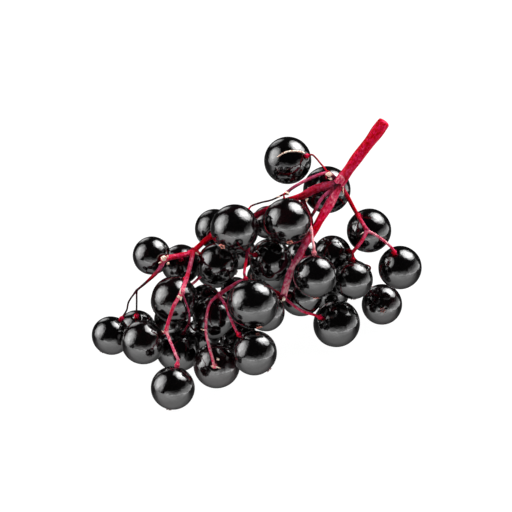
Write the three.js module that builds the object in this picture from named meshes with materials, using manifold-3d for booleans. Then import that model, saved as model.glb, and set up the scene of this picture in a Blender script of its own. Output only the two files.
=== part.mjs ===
// A picked elderberry cluster lying on a flat surface, berries down and cut stem up.
// Millimetres, +Z up. The finished group's origin is the middle of its footprint, on the surface.
import * as THREE from "three";
import { mergeVertices } from "three/addons/utils/BufferGeometryUtils.js";
import Module from "manifold-3d";

const wasm = await Module();
wasm.setup();

// Driving dimensions.
const STEM_CUT_RADIUS = 0.84;
const STEM_NODE_RADIUS = 0.76;
const HEAD_RADIUS = 1.0;
const PEDICEL_RADIUS = 0.24;
const CUP_RADIUS = 0.42;          // swollen cup at the tip of a pedicel
const CUP_LENGTH = 0.7;
const BERRY_GAP = 0.06;           // clear space between a cup and the skin of its berry
const RAY_GAP = 0.12;             // clear space between a ray and the stem that it grows from
const BERRY_DETAIL = 2;           // subdivisions of the icosahedron behind each berry
const STEM_SIDES = 8;
const PEDICEL_SIDES = 6;
const STEP_LENGTH = 2.2;          // along a stem, between its rings
const SMALLEST_DETAIL = 0.02;     // slivers thinner than this are left out where pieces join

const colours = {
  skin: { color: 0x0c0a0d, roughness: 0.16, metalness: 0 },
  stem: { color: 0xb0122c, roughness: 0.5, metalness: 0 },
};

// Where the main stem divides.
const HEAD = [12.7, 26.3, 24.0];
const SHOULDER = [11.1, 27.0, 25.3];

const mainStem = {
  stems: [
    {
      route: [[19.3, 27.9, 33.4], [17.4, 27.4, 30.6], [14.8, 26.8, 27.1], HEAD],
      radii: [STEM_CUT_RADIUS, STEM_NODE_RADIUS],
    },
  ],
  nodes: [{ at: HEAD, radius: HEAD_RADIUS }],
};

// Each ray has one or more stems (a route, and its radius at both ends), the swollen nodes where
// they fork, and its berries: where the middle of each berry is, its diameter, and the route of
// its pedicel from a fork to the last bend before the skin. Places are in millimetres from a
// point on the surface below the cluster.
const rays = [
  {
    name: "front",
    stems: [
      {
        route: [
          HEAD, [11.0, 24.3, 21.1], [9.3, 21.9, 18.9], [7.4, 19.7, 16.9],
          [6.2, 18.1, 14.9], [4.8, 16.6, 12.8], [4.1, 15.1, 10.3],
        ],
        radii: [0.66, 0.42],
      },
      {
        route: [HEAD, [10.1, 24.4, 22.4], [9.0, 22.6, 21.3], [8.2, 21.0, 20.4], [8.3, 19.5, 19.6]],
        radii: [0.34, 0.24],
      },
    ],
    nodes: [{ at: [4.1, 15.1, 10.3], radius: 0.55 }],
    berries: [
      {
        at: [8.9, 15.3, 13.8], diameter: 6.7,
        pedicel: [[8.3, 19.5, 19.6], [8.5, 18.2, 18.6], [8.7, 17.0, 18.0]],
      },
      { at: [1.4, 13.2, 8.8], diameter: 6.0, pedicel: [[4.1, 15.1, 10.3]] },
      { at: [6.9, 19.2, 8.5], diameter: 6.7, pedicel: [[4.1, 15.1, 10.3]] },
      {
        at: [12.4, 19.0, 3.5], diameter: 7.3,
        pedicel: [[4.1, 15.1, 10.3], [6.8, 15.3, 7.9], [8.8, 16.6, 6.4]],
      },
    ],
  },
  {
    name: "middle",
    stems: [
      {
        route: [
          [4.1, 15.1, 10.3], [2.0, 17.0, 10.6], [-0.8, 15.6, 12.2], [-2.5, 12.9, 14.1],
          [-5.6, 11.7, 12.6],
        ],
        radii: [0.36, 0.3],
      },
    ],
    nodes: [{ at: [-5.6, 11.7, 12.6], radius: 0.42 }, { at: [-7.5, 7.9, 8.9], radius: 0.34 }],
    berries: [
      { at: [-6.3, 12.9, 8.1], diameter: 6.5, pedicel: [[-5.6, 11.7, 12.6]] },
      {
        at: [-5.9, 6.5, 3.4], diameter: 7.0,
        pedicel: [
          [-5.6, 11.7, 12.6], [-6.9, 10.6, 11.7], [-7.5, 7.9, 8.9],
          [-6.9, 5.3, 7.0], [-6.5, 3.7, 6.4], [-6.2, 2.9, 5.4],
        ],
      },
      {
        at: [-0.2, 4.3, 6.8], diameter: 6.7,
        pedicel: [[-5.6, 11.7, 12.6], [-4.6, 10.1, 11.7], [-3.9, 8.4, 10.7], [-2.8, 5.9, 9.4]],
      },
      {
        at: [-7.8, 19.3, 7.5], diameter: 4.8,
        pedicel: [[-5.6, 11.7, 12.6], [-6.6, 14.9, 11.6], [-7.3, 17.5, 10.3]],
      },
      { at: [-3.1, 19.4, 8.8], diameter: 4.7, pedicel: [[-2.5, 12.9, 14.1], [-2.8, 16.0, 12.2]] },
      { at: [-2.5, 14.3, 3.1], diameter: 6.0, pedicel: [[-2.5, 12.9, 14.1], [-2.3, 13.3, 9.2]] },
    ],
  },
  {
    name: "left",
    stems: [
      {
        route: [
          HEAD, [9.1, 26.3, 22.9], [7.0, 26.0, 21.9], [4.4, 26.0, 21.1], [0.5, 24.7, 19.5],
          [-3.2, 23.0, 18.5], [-6.9, 21.1, 17.5], [-9.6, 19.3, 16.0], [-11.4, 17.6, 16.1],
          [-13.8, 15.8, 16.4],
        ],
        radii: [0.58, 0.42],
      },
      {
        route: [[-9.6, 19.3, 16.0], [-9.9, 15.5, 15.8], [-10.3, 12.0, 15.5], [-11.0, 8.7, 14.6]],
        radii: [0.36, 0.32],
      },
      {
        route: [[-11.0, 8.7, 14.6], [-12.2, 7.6, 12.9], [-12.8, 7.2, 11.1], [-13.4, 7.0, 8.9]],
        radii: [0.3, 0.28],
      },
      {
        route: [[-13.8, 15.8, 16.4], [-14.7, 14.5, 15.2], [-16.7, 14.3, 13.1], [-18.0, 14.3, 11.9]],
        radii: [0.34, 0.2],
      },
      { route: [[-1.7, 23.8, 18.9], [-0.9, 21.1, 17.3], [-1.3, 17.4, 16.7]], radii: [0.3, 0.26] },
    ],
    nodes: [
      { at: [-9.6, 19.3, 16.0], radius: 0.5 },
      { at: [-13.8, 15.8, 16.4], radius: 0.5 },
      { at: [-11.0, 8.7, 14.6], radius: 0.42 },
      { at: [-13.4, 7.0, 8.9], radius: 0.38 },
      { at: [-18.0, 14.3, 11.9], radius: 0.26 },
      { at: [-1.3, 17.4, 16.7], radius: 0.38 },
    ],
    berries: [
      { at: [-6.3, 25.2, 16.7], diameter: 6.1, pedicel: [[-6.9, 21.1, 17.5]] },
      { at: [-5.8, 18.8, 14.1], diameter: 6.5, pedicel: [[-9.6, 19.3, 16.0]] },
      { at: [-11.5, 21.8, 12.3], diameter: 6.0, pedicel: [[-11.4, 17.6, 16.1]] },
      { at: [-15.8, 18.5, 15.6], diameter: 5.8, pedicel: [[-13.8, 15.8, 16.4]] },
      {
        at: [-21.9, 11.9, 5.4], diameter: 5.9,
        pedicel: [[-18.0, 14.3, 11.9], [-19.2, 13.4, 10.4], [-19.5, 12.8, 9.3]],
      },
      {
        at: [-18.3, 18.6, 2.8], diameter: 5.8,
        pedicel: [[-18.0, 14.3, 11.9], [-18.1, 15.7, 9.2], [-18.2, 17.0, 7.2]],
      },
      { at: [-12.2, 11.8, 11.7], diameter: 7.1, pedicel: [[-10.3, 12.0, 15.5]] },
      { at: [-16.9, 8.0, 6.5], diameter: 6.6, pedicel: [[-13.4, 7.0, 8.9]] },
      {
        at: [-12.3, 0.3, 3.1], diameter: 6.5,
        pedicel: [[-13.4, 7.0, 8.9], [-12.1, 4.6, 7.8], [-11.6, 2.4, 7.1]],
      },
      {
        at: [-11.8, 11.2, 3.4], diameter: 6.8,
        pedicel: [[-11.0, 8.7, 14.6], [-10.0, 8.3, 11.4], [-10.1, 9.3, 9.0], [-10.6, 10.1, 7.6]],
      },
      {
        at: [-8.1, 17.2, 2.6], diameter: 5.4,
        pedicel: [[-10.1, 9.3, 9.0], [-9.2, 12.8, 5.8], [-8.6, 14.6, 5.2]],
      },
      {
        at: [-0.5, 7.6, 13.3], diameter: 7.6,
        pedicel: [[-1.3, 17.4, 16.7], [-2.0, 14.6, 16.7], [-1.9, 10.8, 16.6]],
      },
      { at: [2.2, 20.0, 14.1], diameter: 6.5, pedicel: [[-1.3, 17.4, 16.7]] },
      { at: [-12.9, 20.9, 3.1], diameter: 5.7, pedicel: [[-9.2, 12.8, 5.8], [-9.4, 16.4, 6.2]] },
    ],
  },
  {
    name: "upper",
    stems: [
      {
        route: [HEAD, SHOULDER, [8.5, 26.3, 24.9], [6.2, 25.2, 24.1], [4.6, 24.3, 23.3]],
        radii: [0.4, 0.28],
      },
    ],
    nodes: [{ at: SHOULDER, radius: 0.5 }, { at: [4.6, 24.3, 23.3], radius: 0.36 }],
    berries: [
      {
        at: [4.9, 32.5, 24.8], diameter: 7.3,
        pedicel: [SHOULDER, [10.4, 28.6, 26.1], [8.7, 30.0, 26.5]],
      },
      { at: [4.7, 19.1, 21.1], diameter: 7.2, pedicel: [[4.6, 24.3, 23.3], [4.2, 23.0, 23.7]] },
      {
        at: [-3.2, 17.7, 20.6], diameter: 7.4,
        pedicel: [[4.6, 24.3, 23.3], [2.3, 22.9, 22.8], [0.8, 22.3, 22.7], [-0.8, 21.4, 22.5]],
      },
      { at: [11.0, 32.1, 19.9], diameter: 7.4, pedicel: [SHOULDER, [10.4, 29.0, 24.3]] },
    ],
  },
  {
    name: "right",
    stems: [
      { route: [HEAD, [14.1, 25.7, 21.8], [15.1, 25.3, 19.9], [16.9, 22.5, 17.8]], radii: [0.4, 0.32] },
      { route: [[16.9, 22.5, 17.8], [16.1, 21.3, 16.6], [14.7, 20.5, 15.1]], radii: [0.3, 0.26] },
    ],
    nodes: [{ at: [16.9, 22.5, 17.8], radius: 0.42 }, { at: [14.7, 20.5, 15.1], radius: 0.34 }],
    berries: [
      { at: [17.4, 26.5, 15.7], diameter: 6.9, pedicel: [[15.1, 25.3, 19.9]] },
      {
        at: [22.1, 22.9, 11.2], diameter: 6.7,
        pedicel: [[16.9, 22.5, 17.8], [18.1, 22.4, 17.2], [20.3, 21.9, 15.6], [20.9, 21.6, 15.0]],
      },
      { at: [14.8, 19.0, 11.2], diameter: 6.0, pedicel: [[14.7, 20.5, 15.1], [14.7, 19.9, 14.8]] },
      { at: [11.7, 24.2, 12.7], diameter: 6.1, pedicel: [[14.7, 20.5, 15.1], [14.6, 22.6, 14.3]] },
      {
        at: [19.6, 25.8, 3.1], diameter: 6.3,
        pedicel: [
          [14.7, 20.5, 15.1], [15.3, 22.6, 13.0], [17.1, 22.5, 12.0], [16.6, 24.5, 8.0],
          [17.5, 28.5, 5.0], [19.0, 30.8, 3.0], [19.6, 30.2, 2.1],
        ],
      },
      { at: [17.3, 32.9, 12.4], diameter: 6.2, pedicel: [[15.1, 25.3, 19.9], [16.2, 30.0, 17.4]] },
    ],
  },
  {
    name: "back",
    stems: [
      {
        route: [
          [7.0, 26.0, 21.9], [7.4, 28.6, 19.4], [8.5, 30.2, 15.0], [7.7, 30.1, 11.7],
          [6.9, 29.5, 8.8],
        ],
        radii: [0.42, 0.34],
      },
    ],
    nodes: [{ at: [6.9, 29.5, 8.8], radius: 0.5 }],
    berries: [
      { at: [4.5, 29.5, 15.8], diameter: 6.4, pedicel: [[7.4, 28.6, 19.4]] },
      { at: [1.9, 27.1, 8.3], diameter: 6.0, pedicel: [[6.9, 29.5, 8.8]] },
      { at: [7.5, 31.0, 3.0], diameter: 6.2, pedicel: [[6.9, 29.5, 8.8]] },
      { at: [12.2, 31.7, 8.5], diameter: 5.7, pedicel: [[6.9, 29.5, 8.8]] },
      { at: [1.6, 34.4, 3.0], diameter: 6.2, pedicel: [[6.9, 29.5, 8.8], [3.6, 32.0, 7.2]] },
      { at: [15.4, 34.1, 2.8], diameter: 5.8, pedicel: [[6.9, 29.5, 8.8], [10.6, 33.0, 5.3]] },
      { at: [11.5, 25.6, 5.5], diameter: 6.2, pedicel: [[6.9, 29.5, 8.8]] },
      { at: [7.5, 36.2, 6.3], diameter: 5.7, pedicel: [[6.9, 29.5, 8.8]] },
      { at: [1.9, 35.1, 12.7], diameter: 5.2, pedicel: [[7.7, 30.1, 11.7]] },
    ],
  },
  {
    name: "hind",
    stems: [
      {
        route: [[0.5, 24.7, 19.5], [-1.4, 25.6, 17.0], [-3.4, 26.2, 13.0], [-5.5, 27.5, 11.0]],
        radii: [0.36, 0.3],
      },
    ],
    nodes: [{ at: [-5.5, 27.5, 11.0], radius: 0.44 }],
    berries: [
      { at: [-3.1, 30.2, 14.1], diameter: 6.4, pedicel: [[-3.4, 26.2, 13.0]] },
      { at: [-6.4, 30.8, 6.8], diameter: 6.2, pedicel: [[-5.5, 27.5, 11.0]] },
      { at: [-11.6, 28.5, 9.0], diameter: 5.8, pedicel: [[-5.5, 27.5, 11.0]] },
      { at: [-13.5, 27.2, 2.9], diameter: 6.0, pedicel: [[-5.5, 27.5, 11.0], [-9.5, 27.3, 6.3]] },
      { at: [-2.9, 36.4, 6.8], diameter: 5.7, pedicel: [[-5.5, 27.5, 11.0], [-3.6, 31.8, 10.2]] },
    ],
  },
];

const vector = (place) => new THREE.Vector3(...place);

// Geometry in and out of the boolean library.
function toSolid(geometry) {
  const bare = geometry.clone();
  bare.deleteAttribute("normal");
  bare.deleteAttribute("uv");
  const merged = mergeVertices(bare, 1e-4);
  return new wasm.Manifold(new wasm.Mesh({
    numProp: 3,
    vertProperties: Float32Array.from(merged.attributes.position.array),
    triVerts: Uint32Array.from(merged.index.array),
  }));
}

function toGeometry(solid) {
  const mesh = solid.simplify(SMALLEST_DETAIL).getMesh();
  const geometry = new THREE.BufferGeometry();
  geometry.setAttribute("position", new THREE.BufferAttribute(mesh.vertProperties, 3));
  geometry.setIndex(new THREE.BufferAttribute(mesh.triVerts, 1));
  geometry.computeVertexNormals();
  return geometry;
}

const uniteAll = (geometries) => geometries.map(toSolid).reduce((sum, solid) => sum.add(solid));

// A round tube along a route, tapering from its first radius to its second.
function taperedTube(route, [startRadius, endRadius], sides) {
  const curve = new THREE.CatmullRomCurve3(route.map(vector));
  const steps = Math.max(1, Math.round(curve.getLength() / STEP_LENGTH));
  const section = new THREE.Shape();
  section.absarc(0, 0, startRadius, 0, 2 * Math.PI, false);
  const options = { steps, curveSegments: sides / 2, extrudePath: curve };
  const tube = new THREE.ExtrudeGeometry(section, options);
  const centres = curve.getSpacedPoints(steps);
  const position = tube.attributes.position;
  for (let i = 0; i < position.count; i += 1) {
    const corner = new THREE.Vector3().fromBufferAttribute(position, i);
    const distances = centres.map((centre) => centre.distanceTo(corner));
    const ring = distances.indexOf(Math.min(...distances));
    const share = THREE.MathUtils.lerp(1, endRadius / startRadius, ring / steps);
    corner.sub(centres[ring]).multiplyScalar(share).add(centres[ring]);
    position.setXYZ(i, corner.x, corner.y, corner.z);
  }
  return tube;
}

const knob = (place, radius) => new THREE.IcosahedronGeometry(radius, 1).translate(...place);

// A pedicel runs to the swollen cup that holds its berry. The cup faces the berry's middle, and
// a pedicel shorter than the cup is only the cup.
function pedicelGeometries({ at, diameter, pedicel }) {
  const lastPoint = vector(pedicel.at(-1));
  const outward = lastPoint.clone().sub(vector(at)).normalize();
  const mouth = vector(at).addScaledVector(outward, diameter / 2 + BERRY_GAP);
  const neck = mouth.clone().addScaledVector(outward, CUP_LENGTH);
  const cup = taperedTube([neck.toArray(), mouth.toArray()], [PEDICEL_RADIUS, CUP_RADIUS], PEDICEL_SIDES);
  const beyond = lastPoint.distanceTo(mouth) > CUP_LENGTH ? [neck.toArray()] : [];
  const route = [...pedicel, ...beyond];
  if (route.length < 2) {
    return [cup];
  }
  return [taperedTube(route, [PEDICEL_RADIUS, PEDICEL_RADIUS], PEDICEL_SIDES), cup];
}

// The stems and knobs of a ray, each wider by `margin`.
function stemGeometries({ stems, nodes }, margin = 0) {
  const widen = (radius) => radius + margin;
  return [
    ...stems.map(({ route, radii }) => taperedTube(route, radii.map(widen), STEM_SIDES)),
    ...nodes.map(({ at, radius }) => knob(at, widen(radius))),
  ];
}

// A berry's geometry around its own middle, with its length along +Z. One that lies on the
// surface is pressed flat there.
function berryGeometry(berry, placement) {
  const radius = berry.diameter / 2;
  const skin = new THREE.IcosahedronGeometry(radius, BERRY_DETAIL);
  if (berry.at[2] > radius) {
    return skin;
  }
  const block = new THREE.BoxGeometry(4 * radius, 4 * radius, 2 * radius)
    .translate(berry.at[0], berry.at[1], -radius)
    .applyMatrix4(placement.clone().invert());
  return toGeometry(toSolid(skin).subtract(toSolid(block)));
}

function berryMesh(berry, name) {
  const outward = vector(berry.pedicel.at(-1)).sub(vector(berry.at)).normalize();
  const turn = new THREE.Quaternion().setFromUnitVectors(new THREE.Vector3(0, 0, 1), outward);
  const placement = new THREE.Matrix4().compose(vector(berry.at), turn, new THREE.Vector3(1, 1, 1));
  const skin = new THREE.MeshStandardMaterial(colours.skin);
  const mesh = new THREE.Mesh(berryGeometry(berry, placement), skin);
  mesh.name = name;
  mesh.applyMatrix4(placement);
  return mesh;
}

function stemMesh(solid, name) {
  const mesh = new THREE.Mesh(toGeometry(solid), new THREE.MeshStandardMaterial(colours.stem));
  mesh.name = name;
  return mesh;
}

// Each ray is cut back from the stem and the rays before it, so that no two pieces touch.
const cluster = new THREE.Group();
cluster.add(stemMesh(uniteAll(stemGeometries(mainStem)), "main_stem"));
let taken = uniteAll(stemGeometries(mainStem, RAY_GAP));
for (const ray of rays) {
  const group = new THREE.Group();
  const pieces = [...stemGeometries(ray), ...ray.berries.flatMap(pedicelGeometries)];
  group.add(stemMesh(uniteAll(pieces).subtract(taken), `${ray.name}_ray`));
  ray.berries.forEach((berry, index) => {
    group.add(berryMesh(berry, `${ray.name}_berry_${index + 1}`));
  });
  cluster.add(group);
  taken = taken.add(uniteAll(stemGeometries(ray, RAY_GAP)));
}

// The middle of the footprint goes to the origin.
const footprint = new THREE.Box3().setFromObject(cluster, true);
const origin = footprint.getCenter(new THREE.Vector3()).setZ(footprint.min.z);
cluster.children.forEach((child) => child.position.sub(origin));

export default cluster;
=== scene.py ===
"""The looks of a picked elderberry cluster: fine berries and a fine stalk around its CAD frame."""

import math

import bpy
import numpy as np
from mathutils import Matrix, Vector, kdtree


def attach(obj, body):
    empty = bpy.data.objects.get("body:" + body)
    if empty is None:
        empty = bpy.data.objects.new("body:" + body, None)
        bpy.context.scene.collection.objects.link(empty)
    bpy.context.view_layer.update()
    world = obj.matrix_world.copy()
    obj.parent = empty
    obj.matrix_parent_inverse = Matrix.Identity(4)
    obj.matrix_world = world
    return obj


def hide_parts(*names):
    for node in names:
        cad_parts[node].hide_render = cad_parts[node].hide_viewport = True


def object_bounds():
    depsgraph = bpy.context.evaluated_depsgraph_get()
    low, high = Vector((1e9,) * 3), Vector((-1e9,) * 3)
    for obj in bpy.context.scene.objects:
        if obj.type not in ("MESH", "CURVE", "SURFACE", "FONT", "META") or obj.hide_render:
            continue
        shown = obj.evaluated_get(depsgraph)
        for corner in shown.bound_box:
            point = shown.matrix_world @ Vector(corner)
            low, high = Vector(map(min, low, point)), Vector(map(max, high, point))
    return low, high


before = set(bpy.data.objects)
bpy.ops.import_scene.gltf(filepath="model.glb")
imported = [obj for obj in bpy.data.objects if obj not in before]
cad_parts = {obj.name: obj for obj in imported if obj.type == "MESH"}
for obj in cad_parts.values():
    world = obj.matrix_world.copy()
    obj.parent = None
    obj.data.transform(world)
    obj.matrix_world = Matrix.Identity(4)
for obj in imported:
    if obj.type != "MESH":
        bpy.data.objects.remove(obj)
cad_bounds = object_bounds()

MM = 0.001

# ---- The stalk's routes, in millimetres from the CAD's own starting point. They are the CAD's, but
# for a few pedicels that lie up to about 0.5 mm off, where the photo asks for it.

HEAD = (12.7, 26.3, 24.0)
HEAD_BULGE = (12.7, 25.9, 24.7)
SHOULDER = (11.1, 27.0, 25.3)
FRONT_FORK = (4.1, 15.1, 10.3)
FRONT_SIDE = (4.8, 16.6, 12.8)
FRONT_TIP = (8.3, 19.5, 19.6)
MIDDLE_FORK = (-5.6, 11.7, 12.6)
MIDDLE_KNEE = (-7.5, 7.9, 8.9)
MIDDLE_SIDE = (-2.5, 12.9, 14.1)
LEFT_BACK = (7.0, 26.0, 21.9)
LEFT_HIND = (0.5, 24.7, 19.5)
LEFT_MIDDLE = (-1.7, 23.8, 18.9)
LEFT_BERRY = (-6.9, 21.1, 17.5)
LEFT_FORK = (-9.6, 19.3, 16.0)
LEFT_END = (-13.8, 15.8, 16.4)
LEFT_KNEE = (-11.0, 8.7, 14.6)
LEFT_FOOT = (-13.4, 7.0, 8.9)
LEFT_TWIG = (-18.0, 14.3, 11.9)
LEFT_INNER = (-1.3, 17.4, 16.7)
LEFT_LOW = (-10.1, 9.3, 9.0)
UPPER_FORK = (4.6, 24.3, 23.3)
RIGHT_SIDE = (15.1, 25.3, 19.9)
RIGHT_FORK = (16.9, 22.5, 17.8)
RIGHT_LOW = (14.7, 20.5, 15.1)
BACK_TOP = (7.4, 28.6, 19.4)
BACK_FORK = (6.9, 29.5, 8.8)
HIND_SIDE = (-3.4, 26.2, 13.0)
HIND_FORK = (-5.5, 27.5, 11.0)

# Tones of the bark: (place along its ramp of colours, share of dusty rose).
BLACKENED = (0.04, 0.0)
# SHADED is painted shade: a darkened tone for stretches of stem that lie in shade between berries.
SHADED = (0.22, 0.1)
MAROON = (0.34, 0.1)
PLUM = (0.46, 1.0)
DEEP = (0.46, 0.0)
CRIMSON = (0.64, 0.03)
BLUSHED = (0.62, 0.45)
DUSTY = (0.66, 0.9)
LILAC = (0.8, 0.95)
ROSY = (0.8, 0.45)
SALMON = (0.92, 0.4)
PALE = (1.0, 1.0)

# The stems of each piece: (route, radii and tones at even steps along it).
STEMS = {
    "main_stem": [(
        [(19.3, 27.9, 33.4), (17.4, 27.4, 30.6), (14.8, 26.8, 27.1), HEAD],
        (1.0, 0.93, 0.88, 0.82),
        (CRIMSON, CRIMSON, CRIMSON, BLUSHED),
    )],
    "front_ray": [
        (
            [
                HEAD, (11.0, 24.3, 21.1), (9.3, 21.9, 18.9), (7.4, 19.7, 16.9), (6.2, 18.1, 14.9),
                FRONT_SIDE, FRONT_FORK,
            ],
            (0.72, 0.74, 0.64, 0.6, 0.56, 0.54, 0.48),
            (BLUSHED, ROSY, CRIMSON, DEEP, DUSTY, LILAC, LILAC, LILAC),
        ),
        (
            [HEAD, (10.1, 24.4, 22.4), (9.0, 22.6, 21.3), (8.2, 21.0, 20.4), FRONT_TIP],
            (0.3, 0.28, 0.26, 0.22),
            (MAROON, PLUM, PLUM, BLACKENED, PALE),
        ),
    ],
    "middle_ray": [(
        [FRONT_FORK, (2.0, 17.0, 10.6), (-0.8, 15.6, 12.2), MIDDLE_SIDE, MIDDLE_FORK],
        (0.36, 0.3),
        (MAROON, MAROON, PLUM, PLUM, PLUM),
    )],
    "left_ray": [
        (
            [
                HEAD, (9.1, 26.3, 22.9), LEFT_BACK, (4.4, 26.0, 21.1), LEFT_HIND, (-3.2, 23.0, 18.5),
                LEFT_BERRY, LEFT_FORK, (-11.4, 17.6, 16.1), LEFT_END,
            ],
            (0.6, 0.68, 0.46, 0.46, 0.44, 0.44, 0.44, 0.42, 0.42),
            # The two SHADED steps are painted shade, where this stretch lies between berries.
            (DUSTY, BLUSHED, DEEP, SHADED, SHADED, MAROON, DEEP, CRIMSON, BLUSHED),
        ),
        (
            [LEFT_FORK, (-9.9, 15.5, 15.8), (-10.3, 12.0, 15.5), LEFT_KNEE],
            (0.34, 0.34),
            (DEEP, DUSTY, BLUSHED, ROSY),
        ),
        (
            [LEFT_KNEE, (-12.2, 7.6, 12.9), (-12.8, 7.2, 11.1), LEFT_FOOT],
            (0.29, 0.27),
            (ROSY, BLUSHED, SALMON),
        ),
        (
            [LEFT_END, (-14.7, 14.5, 15.2), (-16.7, 14.3, 13.1), LEFT_TWIG],
            (0.36, 0.34, 0.24, 0.17),
            (BLUSHED, PLUM, DEEP, BLACKENED, BLACKENED),
        ),
        ([LEFT_MIDDLE, (-0.9, 21.1, 17.3), LEFT_INNER], (0.28, 0.26), (MAROON, BLUSHED)),
    ],
    "upper_ray": [(
        [HEAD, SHOULDER, (8.5, 26.3, 24.9), (6.2, 25.2, 24.1), UPPER_FORK],
        (0.38, 0.27, 0.26, 0.25, 0.24),
        (MAROON, PLUM, DUSTY, PLUM, DUSTY, PLUM, PLUM),
    )],
    "right_ray": [
        (
            [HEAD, (14.1, 25.7, 21.8), RIGHT_SIDE, RIGHT_FORK],
            (0.36, 0.32, 0.3),
            (DUSTY, DEEP, DEEP, DUSTY),
        ),
        ([RIGHT_FORK, (16.1, 21.3, 16.6), RIGHT_LOW], (0.3, 0.26), (DUSTY, BLUSHED, DEEP)),
    ],
    "back_ray": [(
        [LEFT_BACK, BACK_TOP, (8.5, 30.2, 15.0), (7.7, 30.1, 11.7), BACK_FORK],
        (0.42, 0.34),
        (BLACKENED, MAROON, CRIMSON, CRIMSON),
    )],
    "hind_ray": [(
        [LEFT_HIND, (-1.4, 25.6, 17.0), HIND_SIDE, HIND_FORK],
        (0.36, 0.3),
        (CRIMSON, BLUSHED, CRIMSON),
    )],
}

# Swollen nodes: (place, radius, tone).
KNOBS = {
    "main_stem": [(HEAD, 1.0, CRIMSON), (HEAD_BULGE, 0.66, ROSY)],
    "front_ray": [(FRONT_FORK, 0.55, PLUM)],
    "middle_ray": [(MIDDLE_FORK, 0.38, PLUM), (MIDDLE_KNEE, 0.32, DUSTY)],
    "left_ray": [
        (LEFT_FORK, 0.5, MAROON), (LEFT_END, 0.5, BLUSHED), (LEFT_KNEE, 0.4, DUSTY),
        (LEFT_FOOT, 0.38, SALMON), (LEFT_TWIG, 0.24, BLACKENED), (LEFT_INNER, 0.34, BLUSHED),
    ],
    "upper_ray": [(SHOULDER, 0.4, MAROON), (UPPER_FORK, 0.32, PLUM)],
    "right_ray": [(RIGHT_FORK, 0.4, DUSTY), (RIGHT_LOW, 0.32, MAROON)],
    "back_ray": [(BACK_FORK, 0.5, BLUSHED)],
    "hind_ray": [(HIND_FORK, 0.44, BLUSHED)],
}

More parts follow.
